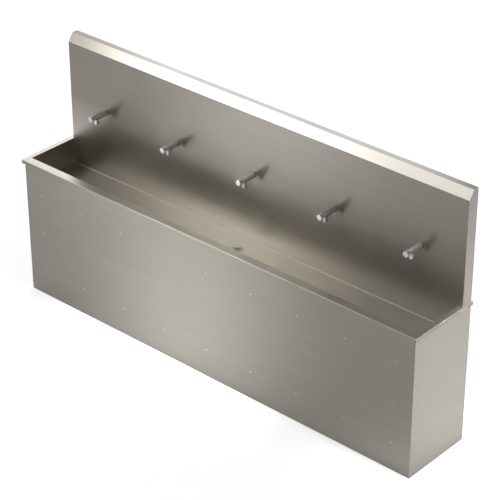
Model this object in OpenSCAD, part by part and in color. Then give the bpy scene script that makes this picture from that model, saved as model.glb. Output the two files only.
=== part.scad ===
// Five-station hand wash sink: a long sheet-metal trough on a tube frame, against a wall.
// Origin: under the middle of the whole sink, on the floor. +X runs along the sink to the
// user's right, +Y towards the wall, +Z up.

/* [Cabinet] */
// Distance from one spout to the next, which sets the cabinet's length
station_pitch = 600; // [560:5:640]
// Depth of the cabinet, from the apron's face to the back of the splashback
cabinet_d = 487; // [460:1:540]
// Height of the rim above the floor
rim_z = 906; // [880:1:950]
// Height of the top of the splashback above the floor
splash_z = 1615; // [1560:5:1700]
// Thickness of every sheet
sheet_t = 1.5; // [1:0.1:2]

/* [Rim and bowl] */
// How far the tray reaches past the cabinet at its left end
left_over = 33; // [20:1:40]
// How far the tray reaches past the cabinet towards the wall
back_over = 20; // [12:1:30]
// Width of the rim in front of the bowl
front_strip_w = 59; // [50:1:70]
// Width of the rim at the right end of the bowl
right_strip_w = 33; // [20:1:45]
// Depth of the bowl below the rim
bowl_depth = 165; // [120:1:180]
// Outer radius of the folded rim edges
rim_round = 3; // [2.2:0.1:4]
// Inner radius of the bowl's folds
bowl_round = 5; // [3:0.5:10]
// Depth of the rim's lip at the front and at the left end
front_lip_h = 24; // [18:1:30]
// Depth of the rim's lip at the right end
right_lip_h = 14; // [10:1:20]
// Depth of the rim's lip on the wall side
back_lip_h = 28; // [20:1:32]
// Open joint between the right lip and the end panel under it
shadow_gap = 3; // [2:0.5:5]
// Width of the folded edges of the end panels
panel_return_w = 20; // [12:1:25]

/* [Splashback] */
// Distance from the splashback's face to the cabinet's back
splash_d = 76; // [70:1:90]
// Height of the sloped top edge
slope_drop = 51; // [35:1:60]
// Depth of the sloped top edge
slope_run = 36; // [25:1:45]
// Width of the folds along the splashback's foot and its rear top edge
splash_fold_w = 20; // [12:1:22]

/* [Apron screws] */
// Distance from the cabinet's end to the first column of screws
screw_margin = 128; // [100:1:160]
// Height of the lower row of screws
screw_low_z = 183; // [150:1:220]
// Height of the single screws at mid height
screw_mid_z = 447; // [400:1:500]
// Radius of a screw's head
screw_head_r = 5; // [4:0.1:6]
// Height of a screw's head
screw_head_h = 2.5; // [1.5:0.1:3.5]
// Radius of a screw's shank
screw_r = 2.4; // [1.5:0.1:3]
// Length of a screw's shank
screw_l = 12; // [6:1:20]
// Radius of the key hole in a screw's head
screw_key_r = 1.7; // [1:0.1:2]
// Radius left free round a screw's shank
screw_clear = 0.1; // [0.05:0.05:0.3]

/* [Frame] */
// Width of the square frame tube
tube_w = 40; // [40:1:46]
// Wall of the square frame tube
tube_wall = 2; // [1.5:0.5:4]
// Height of the legs' lower ends above the floor
leg_z = 40; // [34:1:60]
// Thickness of the plate that closes each leg's lower end
leg_plate_t = 6; // [4:1:10]
// Radius of a levelling foot's pad
foot_r = 17; // [12:1:18]
// Thickness of a levelling foot's pad
foot_h = 8; // [5:1:12]
// Radius of a levelling foot's stem
foot_stem_r = 6; // [4:0.5:8]
// Height of the top of a levelling foot's stem
foot_stem_z = 72; // [60:1:90]
// Size across the corners of a levelling foot's nut
foot_nut_w = 22; // [18:1:26]
// Thickness of a levelling foot's nut
foot_nut_h = 10; // [6:1:12]
// Length of the rubber pads under the bowl
pad_l = 260; // [150:10:320]
// Thickness of the rubber pads under the bowl
pad_t = 9; // [4:0.5:14]

/* [Wall hooks] */
// Thickness of the wall hooks' strip
hook_t = 3; // [2:0.5:4]
// Width of a wall hook
hook_w = 80; // [50:5:120]
// Height of a hook's plate on the wall
hook_plate_h = 78; // [70:1:90]
// Height of a hook's leaf behind the splashback's fold
hook_leaf_h = 18; // [10:1:20]
// Distance between the two holes in a hook
hook_hole_pitch = 40; // [30:1:45]
// Radius of the holes in a hook
hook_hole_r = 4.5; // [3:0.5:6]

/* [Taps] */
// Height of the spouts' axis above the rim
tap_rise = 275; // [220:5:320]
// Distance from the splashback to the face of the push button
tap_reach = 132; // [128:1:150]
// Radius of the tap's barrel
barrel_r = 17; // [16:0.1:17.7]
// Distance from the splashback to the front of the barrel
barrel_reach = 108; // [104:1:110]
// Radius of the collar at the barrel's front
collar_r = 18; // [17.7:0.1:19.5]
// Length of the collar
collar_l = 8; // [5:0.5:10]
// Radius of the barrel's front bore, in which the button slides
barrel_bore_r = 13; // [12.5:0.1:13.2]
// Depth of the barrel's front bore
barrel_bore_l = 20; // [19:0.5:22]
// Radius of the push button's disc
button_r = 18.2; // [16:0.1:20]
// Thickness of the push button's disc
button_t = 7; // [5:0.5:8]
// Radius of the rounded edge of the push button's disc
button_round = 1.5; // [0.8:0.1:2.5]
// Radius of the shallow dish in the button's face
button_dish_r = 14.5; // [10:0.5:15]
// Depth of the shallow dish in the button's face
button_dish_t = 0.6; // [0.4:0.1:1]
// Length of the button's neck inside the barrel at rest
neck_hold = 8; // [6:0.5:8.5]
// Travel of the push button
button_travel = 8; // [5:0.5:8]
// Radius of the spindle behind the button's neck
spindle_r = 4; // [3:0.1:5]
// Length of the spindle
spindle_l = 26; // [24:0.5:28]
// Radius left free round a sliding or turning piece
slide_clear = 0.08; // [0.05:0.01:0.1]
// Radius of the cartridge
cartridge_r = 11; // [9:0.1:11.5]
// Length of the cartridge
cartridge_l = 64; // [58:1:70]
// Radius left free round a piece that is pushed or screwed into place
seat_clear = 0.1; // [0.05:0.05:0.3]
// Distance from the splashback to the nozzle's axis
nozzle_reach = 78; // [72:1:84]
// Radius of the nozzle's boss under the barrel
boss_r = 12.5; // [10:0.1:12.9]
// Depth of the boss's face below the spout's axis
boss_drop = 22; // [20:0.5:24]
// Outer radius of the nozzle
nozzle_r = 14.5; // [13:0.1:15.5]
// Length of the nozzle
nozzle_l = 21.5; // [16:0.5:28]
// Radius of the nozzle's mouth
mouth_r = 11; // [8:0.1:12]
// Depth of the nozzle's mouth
mouth_l = 6; // [4:0.5:9]
// Radius of the nozzle's threaded upper end
nozzle_thread_r = 7; // [6:0.1:7.5]
// Length of the nozzle's threaded upper end
nozzle_thread_l = 6; // [4:0.5:6]
// Radius of the waterways in the tap
water_r = 4.5; // [3:0.1:5]
// Radius of the threaded shank behind the splashback
shank_r = 10; // [9:0.1:10.4]
// Length of the shank behind the splashback's face
shank_l = 26; // [20:1:28]
// Radius of the tap holes in the splashback
tap_hole_r = 10.5; // [10.5:0.1:12]
// Radius of the seal between the barrel and the splashback
tap_seal_r = 15; // [13:0.1:15]
// Thickness of the seal between the barrel and the splashback
tap_seal_t = 1.5; // [1:0.1:3]
// Size across the corners of the tap's back nut
back_nut_w = 34; // [28:1:36]
// Thickness of the tap's back nut
back_nut_t = 8; // [5:0.5:10]

/* [Water] */
// Height of the manifold above the rim
manifold_rise = 179; // [150:1:200]
// Outer radius of the water pipes
pipe_r = 11; // [9:0.5:12]
// Wall of the water pipes
pipe_wall = 1.5; // [1:0.1:2]
// Distance from the splashback's face to the water pipes' axis
pipe_setback = 38; // [36:1:40]
// Radius of the pipes' bends
bend_r = 20; // [18:1:26]
// Length of the manifold beyond its last spout
manifold_end_l = 30; // [20:1:60]
// Radius of the manifold's branches
branch_r = 10; // [9:0.5:12]
// Height of the manifold's branches above its axis
branch_l = 20; // [16:1:30]
// Outer radius of the tap tails
tail_r = 7.5; // [6:0.1:9]
// Radius of the tap tails' elbows
elbow_r = 12; // [10:0.5:14]
// Length of the tap tails' elbows
elbow_l = 24; // [20:1:26]
// Distance from the riser pipe to the cabinet's right end
riser_inset = 55; // [50:1:70]
// Radius left free round the riser in the tray's shelf
riser_clear = 2; // [1:0.5:4]
// Thickness of a manifold clip's ring
clip_t = 3; // [2:0.5:5]
// Width of a manifold clip's ring
clip_w = 14; // [8:1:20]
// Size of a manifold clip's square foot
clip_foot_w = 32; // [20:1:40]
// Thickness of a manifold clip's foot
clip_foot_t = 2; // [1:0.5:4]
// Radius of a manifold clip's post
clip_post_r = 4; // [3:0.5:6]

/* [Isolating valve] */
// Height of the valve's middle above the floor
valve_z = 610; // [580:5:640]
// Length of the valve's body
valve_l = 60; // [50:1:80]
// Radius of the valve's body
valve_r = 16; // [14.5:0.5:18]
// Length of the hexagons at the valve's ends
valve_hex_l = 12; // [8:1:16]
// Size across the corners of the hexagons at the valve's ends
valve_hex_w = 36; // [34:1:40]
// Radius of the valve's front boss
valve_boss_r = 9; // [7:0.5:11]
// Distance from the pipe's axis to the front of the valve's boss
valve_boss_l = 26; // [22:1:28]
// Radius of the lever's pin
lever_pin_r = 4; // [3:0.1:5]
// Length of the lever's pin
lever_pin_l = 12; // [8:0.5:13]
// Running gap between the lever and the valve's boss
lever_gap = 0.3; // [0.2:0.1:0.6]
// Length of the lever from its pin to its tip
lever_l = 65; // [40:1:80]
// Width of the lever
lever_w = 15; // [12:1:18]
// Thickness of the lever
lever_t = 5; // [4:0.5:7]
// Height of the supply pipe where it meets the wall
supply_z = 500; // [440:5:540]

/* [Waste] */
// Distance from the bowl's back to the waste's axis
waste_setback = 128; // [110:1:150]
// Outer radius of the waste flange
flange_r = 39; // [36:0.5:43]
// Thickness of the waste flange above the bowl's floor
flange_t = 2; // [1.5:0.1:3]
// Outer radius of the waste's upright tubes
waste_r = 22; // [21:0.5:24]
// Wall of the waste's upright tubes
waste_wall = 2; // [1.5:0.1:3]
// Radius left free round the waste in the bowl's floor
waste_clear = 1.5; // [0.5:0.1:3]
// Length of the waste's threaded tube below the bowl's floor
waste_tube_l = 51; // [44:1:56]
// Thickness of the waste's strainer
strainer_t = 2; // [1.5:0.1:4]
// Radius of the holes in the strainer
strainer_hole_r = 2.8; // [2:0.1:3.1]
// Distance between the rings of holes in the strainer
strainer_pitch = 7.7; // [7.3:0.1:7.9]
// Outer radius of the gasket under the bowl
gasket_r = 33; // [30:0.5:38]
// Thickness of the gasket under the bowl
gasket_t = 3; // [2:0.5:4]
// Size across the corners of the waste's locknut
locknut_w = 66; // [60:1:72]
// Thickness of the waste's locknut
locknut_t = 12; // [8:1:14]
// Outer radius of the trap's union nuts
trap_nut_r = 29; // [27:0.5:32]
// Length of the trap's outlet nut
trap_nut_l = 22; // [16:1:24]
// Outer radius of the trap's body
trap_r = 31; // [30:0.5:36]
// Length of the trap's neck
trap_neck_l = 14; // [12:1:24]
// Length of the trap's body
trap_l = 76; // [66:1:100]
// Outer radius of the trap's cup
cup_r = 33; // [32:0.5:40]
// Height of the trap's cup
cup_h = 60; // [40:1:80]
// Wall of the trap's body and cup
trap_wall = 3; // [2:0.5:4]
// Depth of the waste pipe's axis below the top of the trap's body
outlet_drop = 31; // [31:1:41]
// Outer radius of the waste pipe
outlet_r = 20; // [16:0.5:21]
// Wall of the waste pipe
outlet_wall = 2; // [1.5:0.1:3]
// Length of the waste pipe's end that goes into its socket in the wall
spigot_l = 40; // [25:1:60]
// Radius of the stop collar behind the waste pipe's end
stop_collar_r = 24; // [22:0.5:28]
// Thickness of the stop collar
stop_collar_t = 5; // [3:0.5:8]
// Distance from the trap's axis to the joint of its outlet and the waste pipe
outlet_joint_l = 54; // [48:1:70]

/* [Hidden] */
$fn = 64;
// How far a cut runs past the face that it starts from
over = 1;
stations = [0 : 4];
station_count = 5;
// Steps of the screw columns from the middle of the apron, and those that have a leg behind them
screw_steps = [-4 : 4];
last_screw_step = 4;
leg_steps = [-4, -1, 1, 4];
legs = [0 : 3];
wall_hook_steps = [-3, 0, 3];
clip_steps = [-3, -1, 1, 3];
hex_sides = 6;
strainer_rings = 2;
holes_per_ring = 6;
full_turn = 360;

cabinet_l = station_count * station_pitch;
overall_l = cabinet_l + left_over;
overall_d = screw_head_h + cabinet_d + back_over;

// The cabinet's ends and middle, and the planes from front to wall
tray_x = [-overall_l / 2, overall_l / 2];
cabinet_x = [tray_x[0] + left_over, tray_x[1]];
mid_x = (cabinet_x[0] + cabinet_x[1]) / 2;
front_y = screw_head_h - overall_d / 2;
back_y = front_y + cabinet_d;
wall_y = back_y + back_over;
splash_y = back_y - splash_d;

// Inside faces of the bowl, whose back wall lines up with the splashback's face
bowl_x = [cabinet_x[0] + 2 * sheet_t, cabinet_x[1] - right_strip_w];
bowl_y = [front_y + front_strip_w, splash_y];
bowl_z = rim_z - bowl_depth;
deck_z = rim_z - sheet_t;
apron_top_z = rim_z - front_lip_h;
panel_y = [front_y + sheet_t, back_y];

// Frame lines: the centres of the front and rear tubes and of the legs
screw_pitch = (cabinet_l / 2 - screw_margin) / last_screw_step;
front_tube_y = front_y + sheet_t + tube_w / 2;
rear_tube_y = back_y - sheet_t - tube_w / 2;
rear_rail_z = deck_z - tube_w / 2;
// The bearers carry the bowl on its pads, and the front top rail and its screws are level with them
bearer_top_z = bowl_z - sheet_t - pad_t;
bearer_z = bearer_top_z - tube_w / 2;
function leg_x(i) = mid_x + leg_steps[i] * screw_pitch;

// Taps, from the spout's axis
tap_z = rim_z + tap_rise;
neck_r = barrel_bore_r - slide_clear;
neck_end = barrel_reach - neck_hold;
cartridge_front = barrel_reach - barrel_bore_l;
cartridge_back = cartridge_front - cartridge_l;
spindle_bore_l = cartridge_front - neck_end + spindle_l + button_travel + 2 * lever_gap;
function tap_x(i) = mid_x + (i - (station_count - 1) / 2) * station_pitch;

// Water pipes
pipe_y = splash_y + pipe_setback;
manifold_z = rim_z + manifold_rise;
riser_x = cabinet_x[1] - riser_inset;
valve_z0 = valve_z - valve_l / 2;
valve_z1 = valve_z + valve_l / 2;
lever_y1 = pipe_y - valve_boss_l - lever_gap;
lever_y0 = lever_y1 - lever_t;

// Waste
waste_x = (bowl_x[0] + bowl_x[1]) / 2;
waste_y = splash_y - waste_setback;
gasket_z = bowl_z - sheet_t - gasket_t;
outlet_y = waste_y + outlet_joint_l;
waste_end_z = bowl_z - waste_tube_l;
trap_top_z = waste_end_z - trap_neck_l;
trap_low_z = trap_top_z - trap_l;
outlet_z = trap_top_z - outlet_drop;

// Wall hooks
hook_leaf_z = splash_z - splash_fold_w - hook_t;
hook_hole_z = hook_leaf_z - hook_plate_h / 2;

// A block between two places on each axis
module block(x, y, z) {
    translate([x[0], y[0], z[0]])
        cube([x[1] - x[0], y[1] - y[0], z[1] - z[0]]);
}

// Round bars along X, Y and Z
module bar_x(r, x, y, z, sides = $fn) {
    translate([x[0], y, z])
        rotate([0, 90, 0])
            cylinder(r = r, h = x[1] - x[0], $fn = sides);
}

module bar_y(r, x, y, z, sides = $fn) {
    translate([x, y[0], z])
        rotate([-90, 0, 0])
            cylinder(r = r, h = y[1] - y[0], $fn = sides);
}

module bar_z(r, x, y, z, sides = $fn) {
    translate([x, y, z[0]])
        cylinder(r = r, h = z[1] - z[0], $fn = sides);
}

// A flat shape in Y and Z, drawn out along X
module along_x(x) {
    translate([x[0], 0, 0])
        rotate([90, 0, 90])
            linear_extrude(x[1] - x[0])
                children();
}

// A block with round upright edges, top edges and top corners
module soft_block(x, y, z, r) {
    x_in = [x[0] + r, x[1] - r];
    y_in = [y[0] + r, y[1] - r];
    side_z = [z[0], z[1] - r];
    block(x_in, y, side_z);
    block(x, y_in, side_z);
    block(x_in, y_in, z);
    for (cx = x_in, cy = y_in) {
        bar_z(r, cx, cy, side_z);
        translate([cx, cy, side_z[1]])
            sphere(r);
    }
    for (cy = y_in)
        bar_x(r, x_in, cy, side_z[1]);
    for (cx = x_in)
        bar_y(r, cx, y_in, side_z[1]);
}

// The same block turned over: its bottom edges and corners are round
module soft_bowl(x, y, z, r) {
    translate([0, 0, z[0] + z[1]])
        mirror([0, 0, 1])
            soft_block(x, y, z, r);
}

// Rounds the rim where it folds down into the bowl, on its front and both ends
module rim_fold_cut() {
    turn_y = bowl_y[0] + bowl_round;
    turn_x = [bowl_x[0] + bowl_round, bowl_x[1] - bowl_round];
    low_z = rim_z - rim_round;
    difference() {
        union() {
            block(turn_x, [bowl_y[0] - rim_round, bowl_y[0] + over], [low_z, rim_z + over]);
            block([bowl_x[0] - rim_round, bowl_x[0] + over], [turn_y, splash_y], [low_z, rim_z + over]);
            block([bowl_x[1] - over, bowl_x[1] + rim_round], [turn_y, splash_y], [low_z, rim_z + over]);
            for (cx = turn_x)
                bar_z(bowl_round + rim_round, cx, turn_y, [low_z, rim_z + over]);
        }
        bar_x(rim_round, turn_x, bowl_y[0] - rim_round, low_z);
        bar_y(rim_round, bowl_x[0] - rim_round, [turn_y, splash_y], low_z);
        bar_y(rim_round, bowl_x[1] + rim_round, [turn_y, splash_y], low_z);
        for (cx = turn_x)
            translate([cx, turn_y, low_z])
                rotate_extrude()
                    translate([bowl_round + rim_round, 0])
                        circle(rim_round);
    }
}

module trough_tray() {
    lip_z = rim_z - back_lip_h;
    color([0.74, 0.72, 0.68])
    difference() {
        union() {
            difference() {
                soft_block(tray_x, [front_y, wall_y], [lip_z, rim_z], rim_round);
                block(
                    [tray_x[0] + sheet_t, tray_x[1] - sheet_t],
                    [front_y + sheet_t, wall_y - sheet_t],
                    [lip_z - over, deck_z]
                );
                block(
                    [tray_x[0] - over, tray_x[1] + over],
                    [front_y - over, back_y],
                    [lip_z - over, apron_top_z]
                );
                block(
                    [tray_x[1] - sheet_t - over, tray_x[1] + over],
                    [front_y + sheet_t, wall_y + over],
                    [lip_z - over, rim_z - right_lip_h]
                );
            }
            soft_bowl(
                [bowl_x[0] - sheet_t, bowl_x[1] + sheet_t],
                [bowl_y[0] - sheet_t, bowl_y[1] + sheet_t],
                [bowl_z - sheet_t, deck_z],
                bowl_round + sheet_t
            );
        }
        soft_bowl(bowl_x, bowl_y, [bowl_z, rim_z + over], bowl_round);
        rim_fold_cut();
        bar_z(waste_r + waste_clear, waste_x, waste_y, [bowl_z - sheet_t - over, bowl_z + over]);
        bar_z(pipe_r + riser_clear, riser_x, pipe_y, [deck_z - over, rim_z + over]);
    }
}

// Outline of the splashback seen from its end, in Y and Z
function splash_outline(low_z) = [
    [splash_y, low_z],
    [splash_y, splash_z - slope_drop],
    [splash_y + slope_run, splash_z],
    [back_y, splash_z],
    [back_y, low_z]
];

// The same outline, one sheet further in
function splash_inline(low_z) =
    let (slope_l = sqrt(slope_drop * slope_drop + slope_run * slope_run))
    [
        [splash_y + sheet_t, low_z],
        [splash_y + sheet_t, splash_z - slope_drop - sheet_t * (slope_l - slope_drop) / slope_run],
        [splash_y + slope_run + sheet_t * (slope_l - slope_run) / slope_drop, splash_z - sheet_t],
        [back_y - sheet_t, splash_z - sheet_t],
        [back_y - sheet_t, low_z]
    ];

module splashback() {
    inner_x = [cabinet_x[0] + sheet_t, cabinet_x[1] - sheet_t];
    color([0.66, 0.64, 0.6])
    difference() {
        union() {
            difference() {
                along_x(cabinet_x)
                    polygon(splash_outline(rim_z));
                along_x(inner_x)
                    polygon(splash_inline(rim_z - over));
                block(
                    inner_x,
                    [back_y - sheet_t - over, back_y + over],
                    [rim_z - over, splash_z - splash_fold_w]
                );
            }
            block(inner_x, [splash_y + sheet_t, splash_y + splash_fold_w], [rim_z, rim_z + sheet_t]);
        }
        for (i = stations)
            bar_y(tap_hole_r, tap_x(i), [splash_y - over, splash_y + sheet_t + over], tap_z);
    }
}

// Places of the apron's screws: two full rows and one screw at mid height near each end
apron_screw_spots = concat(
    [for (k = screw_steps, z = [screw_low_z, bearer_z]) [mid_x + k * screw_pitch, z]],
    [for (k = [-last_screw_step, last_screw_step]) [mid_x + k * screw_pitch, screw_mid_z]]
);

// Holes for the apron's screws, through the apron and the front wall of the tube behind it
module apron_screw_holes() {
    for (spot = apron_screw_spots)
        bar_y(screw_r + screw_clear, spot[0], [front_y - over, front_y + sheet_t + tube_w / 2], spot[1]);
}

module front_apron() {
    color([0.7, 0.68, 0.64])
    difference() {
        block(cabinet_x, [front_y, front_y + sheet_t], [0, apron_top_z]);
        apron_screw_holes();
    }
}

// One button-head screw: its cap is a slice of a ball
module apron_screw(x, z) {
    ball_r = (screw_head_r * screw_head_r + screw_head_h * screw_head_h) / (2 * screw_head_h);
    head_y = front_y - screw_head_h;
    difference() {
        union() {
            intersection() {
                translate([x, head_y + ball_r, z])
                    sphere(ball_r);
                bar_y(screw_head_r, x, [head_y - over, front_y], z);
            }
            bar_y(screw_r, x, [front_y, front_y + screw_l], z);
        }
        bar_y(screw_key_r, x, [head_y - over, head_y + screw_head_h / 2], z, hex_sides);
    }
}

module apron_screws() {
    color([0.8, 0.8, 0.8])
    for (spot = apron_screw_spots)
        apron_screw(spot[0], spot[1]);
}

// An end panel: an outer face with its rear edge folded inwards
module end_panel(face_x, return_x, top_z) {
    block(face_x, panel_y, [0, top_z]);
    block(return_x, [back_y - sheet_t, back_y], [0, top_z]);
}

module left_end_panel() {
    x0 = cabinet_x[0];
    color([0.72, 0.7, 0.66])
    end_panel([x0, x0 + sheet_t], [x0, x0 + panel_return_w], deck_z);
}

module right_end_panel() {
    x1 = cabinet_x[1];
    color([0.76, 0.74, 0.7])
    end_panel([x1 - sheet_t, x1], [x1 - panel_return_w, x1], rim_z - right_lip_h - shadow_gap);
}

// A square tube between two places on each axis, open at both ends of one axis: 0, 1 or 2
module square_tube(x, y, z, open_axis) {
    wall = [for (axis = [0 : 2]) axis == open_axis ? -over : tube_wall];
    difference() {
        block(x, y, z);
        block(
            [x[0] + wall[0], x[1] - wall[0]],
            [y[0] + wall[1], y[1] - wall[1]],
            [z[0] + wall[2], z[1] - wall[2]]
        );
    }
}

// A leg from its foot plate up to the underside of the tray
module leg(x, y) {
    half = tube_w / 2;
    difference() {
        block([x - half, x + half], [y - half, y + half], [leg_z, deck_z]);
        block(
            [x - half + tube_wall, x + half - tube_wall],
            [y - half + tube_wall, y + half - tube_wall],
            [leg_z + leg_plate_t, deck_z + over]
        );
        bar_z(foot_stem_r + seat_clear, x, y, [leg_z - over, leg_z + leg_plate_t + over]);
    }
}

module front_leg(i) {
    color([0.55, 0.56, 0.58])
    difference() {
        leg(leg_x(i), front_tube_y);
        apron_screw_holes();
    }
}

module rear_leg(i) {
    color([0.55, 0.56, 0.58])
    leg(leg_x(i), rear_tube_y);
}

// A bearer from a front leg to the rear leg behind it, under the bowl
module bowl_bearer(i) {
    half = tube_w / 2;
    color([0.5, 0.51, 0.53])
    square_tube(
        [leg_x(i) - half, leg_x(i) + half],
        [front_tube_y + half, rear_tube_y - half],
        [bearer_z - half, bearer_z + half],
        1
    );
}

// Lengths of rail between the places where legs stand, from one end to the other
module rail(stops, y, z) {
    half = tube_w / 2;
    for (i = [0 : len(stops) / 2 - 1])
        square_tube([stops[2 * i], stops[2 * i + 1]], [y - half, y + half], [z - half, z + half], 0);
}

leg_sides = [for (i = legs, side = [-1, 1]) leg_x(i) + side * tube_w / 2];
rail_stops = concat([cabinet_x[0] + sheet_t], leg_sides, [cabinet_x[1] - sheet_t]);
rear_rail_stops = [for (i = [1 : len(leg_sides) - 2]) leg_sides[i]];

module front_top_rail() {
    color([0.5, 0.51, 0.53])
    difference() {
        rail(rail_stops, front_tube_y, bearer_z);
        apron_screw_holes();
    }
}

module front_bottom_rail() {
    color([0.5, 0.51, 0.53])
    difference() {
        rail(rail_stops, front_tube_y, screw_low_z);
        apron_screw_holes();
    }
}

module rear_top_rail() {
    color([0.5, 0.51, 0.53])
    rail(rear_rail_stops, rear_tube_y, rear_rail_z);
}

module bowl_pads() {
    pad_y = (bowl_y[0] + bowl_y[1]) / 2;
    color([0.12, 0.12, 0.12])
    for (i = legs)
        block(
            [leg_x(i) - tube_w / 2, leg_x(i) + tube_w / 2],
            [pad_y - pad_l / 2, pad_y + pad_l / 2],
            [bearer_top_z, bowl_z - sheet_t]
        );
}

module levelling_foot(x, y) {
    bar_z(foot_r, x, y, [0, foot_h]);
    bar_z(foot_stem_r, x, y, [foot_h, foot_stem_z]);
    bar_z(foot_nut_w / 2, x, y, [leg_z - foot_nut_h, leg_z], hex_sides);
}

module levelling_feet() {
    color([0.3, 0.3, 0.32])
    for (i = legs, y = [front_tube_y, rear_tube_y])
        levelling_foot(leg_x(i), y);
}

// A strip folded twice: a leaf that hooks into the splashback and a plate on the wall
module wall_hook(x) {
    side = [x - hook_w / 2, x + hook_w / 2];
    leaf_y = back_y - sheet_t - hook_t;
    difference() {
        union() {
            block(side, [leaf_y, leaf_y + hook_t], [hook_leaf_z, hook_leaf_z + hook_leaf_h]);
            block(side, [leaf_y, wall_y], [hook_leaf_z, hook_leaf_z + hook_t]);
            block(side, [wall_y - hook_t, wall_y], [hook_leaf_z - hook_plate_h, hook_leaf_z + hook_t]);
        }
        for (lift = [-hook_hole_pitch / 2, hook_hole_pitch / 2])
            bar_y(hook_hole_r, x, [wall_y - hook_t - over, wall_y + over], hook_hole_z + lift);
    }
}

module wall_hooks() {
    color([0.6, 0.6, 0.62])
    for (k = wall_hook_steps)
        wall_hook(mid_x + k * screw_pitch);
}

module waste_flange() {
    floor_z = bowl_z + flange_t;
    bore_r = waste_r - waste_wall;
    plate_z = bowl_z - strainer_t;
    color([0.85, 0.85, 0.86])
    translate([waste_x, waste_y, 0]) {
        rotate_extrude()
            polygon([
                [bore_r, waste_end_z],
                [waste_r, waste_end_z],
                [waste_r, bowl_z],
                [flange_r, bowl_z],
                [flange_r, bowl_z + flange_t / 2],
                [flange_r - flange_t / 2, floor_z],
                [waste_r + flange_t, floor_z],
                [bore_r, bowl_z]
            ]);
        difference() {
            bar_z(bore_r + waste_wall / 2, 0, 0, [plate_z, bowl_z]);
            bar_z(strainer_hole_r, 0, 0, [plate_z - over, bowl_z + over]);
            for (ring = [1 : strainer_rings])
                for (k = [1 : holes_per_ring * ring])
                    rotate([0, 0, k * full_turn / (holes_per_ring * ring)])
                        bar_z(strainer_hole_r, ring * strainer_pitch, 0, [plate_z - over, bowl_z + over]);
        }
    }
}

// A ring round an upright or level tube
module ring_z(outer_r, inner_r, x, y, z, sides = $fn) {
    difference() {
        bar_z(outer_r, x, y, z, sides);
        bar_z(inner_r, x, y, [z[0] - over, z[1] + over]);
    }
}

module ring_y(outer_r, inner_r, x, y, z, sides = $fn) {
    difference() {
        bar_y(outer_r, x, y, z, sides);
        bar_y(inner_r, x, [y[0] - over, y[1] + over], z);
    }
}

module waste_gasket() {
    color([0.15, 0.15, 0.15])
    ring_z(gasket_r, waste_r + seat_clear, waste_x, waste_y, [gasket_z, gasket_z + gasket_t]);
}

module waste_locknut() {
    nut_z = [gasket_z - locknut_t, gasket_z];
    color([0.75, 0.7, 0.55])
    ring_z(locknut_w / 2, waste_r + seat_clear, waste_x, waste_y, nut_z, hex_sides);
}

// Two union nuts, one round the trap's inlet and one round its outlet
module trap_nuts() {
    half = trap_nut_l / 2;
    color([0.92, 0.92, 0.9]) {
        ring_z(trap_nut_r, waste_r + seat_clear, waste_x, waste_y, [trap_top_z, waste_end_z + half]);
        ring_y(trap_nut_r, outlet_r + seat_clear, waste_x, [outlet_y - half, outlet_y + half], outlet_z);
    }
}

module trap_body() {
    color([0.95, 0.95, 0.93])
    difference() {
        union() {
            bar_z(trap_r, waste_x, waste_y, [trap_low_z, trap_top_z]);
            bar_z(waste_r, waste_x, waste_y, [trap_top_z, waste_end_z]);
            bar_y(outlet_r, waste_x, [waste_y, outlet_y], outlet_z);
        }
        bar_z(trap_r - trap_wall, waste_x, waste_y, [trap_low_z - over, trap_top_z - trap_wall]);
        bar_z(waste_r - waste_wall, waste_x, waste_y, [trap_top_z - trap_wall - over, waste_end_z + over]);
        bar_y(outlet_r - outlet_wall, waste_x, [waste_y, outlet_y + over], outlet_z);
    }
}

module trap_cup() {
    cup_z = trap_low_z - cup_h;
    color([0.93, 0.93, 0.91])
    difference() {
        union() {
            bar_z(cup_r, waste_x, waste_y, [cup_z + trap_wall, trap_low_z]);
            bar_z(cup_r - trap_wall, waste_x, waste_y, [cup_z, cup_z + trap_wall]);
        }
        bar_z(trap_r - trap_wall, waste_x, waste_y, [cup_z + 2 * trap_wall, trap_low_z + over]);
    }
}

module waste_pipe() {
    stop_y = wall_y - spigot_l;
    color([0.94, 0.94, 0.92])
    difference() {
        union() {
            bar_y(outlet_r, waste_x, [outlet_y, wall_y], outlet_z);
            bar_y(stop_collar_r, waste_x, [stop_y - stop_collar_t, stop_y], outlet_z);
        }
        bar_y(outlet_r - outlet_wall, waste_x, [outlet_y - over, wall_y + over], outlet_z);
    }
}

// A pipe's bend through a quarter turn, from straight down at (0, 0) towards +U
module pipe_bend() {
    rotate_extrude(angle = 90)
        translate([bend_r, 0])
            difference() {
                circle(pipe_r);
                circle(pipe_r - pipe_wall);
            }
}

module supply_pipe() {
    bend_z = supply_z + bend_r;
    color([0.8, 0.5, 0.35]) {
        ring_z(pipe_r, pipe_r - pipe_wall, riser_x, pipe_y, [bend_z, valve_z0]);
        translate([riser_x, pipe_y + bend_r, bend_z])
            rotate([0, 90, 0])
                rotate([0, 0, -90])
                    pipe_bend();
        ring_y(pipe_r, pipe_r - pipe_wall, riser_x, [pipe_y + bend_r, wall_y], supply_z);
    }
}

module valve_body() {
    hex_r = valve_hex_w / 2;
    pin_y = pipe_y - valve_boss_l;
    color([0.8, 0.72, 0.45])
    difference() {
        union() {
            bar_z(valve_r, riser_x, pipe_y, [valve_z0, valve_z1]);
            bar_z(hex_r, riser_x, pipe_y, [valve_z0, valve_z0 + valve_hex_l], hex_sides);
            bar_z(hex_r, riser_x, pipe_y, [valve_z1 - valve_hex_l, valve_z1], hex_sides);
            bar_y(valve_boss_r, riser_x, [pin_y, pipe_y], valve_z);
        }
        bar_z(pipe_r - pipe_wall, riser_x, pipe_y, [valve_z0 - over, valve_z1 + over]);
        bar_y(lever_pin_r, riser_x, [pin_y - over, pin_y + lever_pin_l], valve_z);
    }
}

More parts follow.
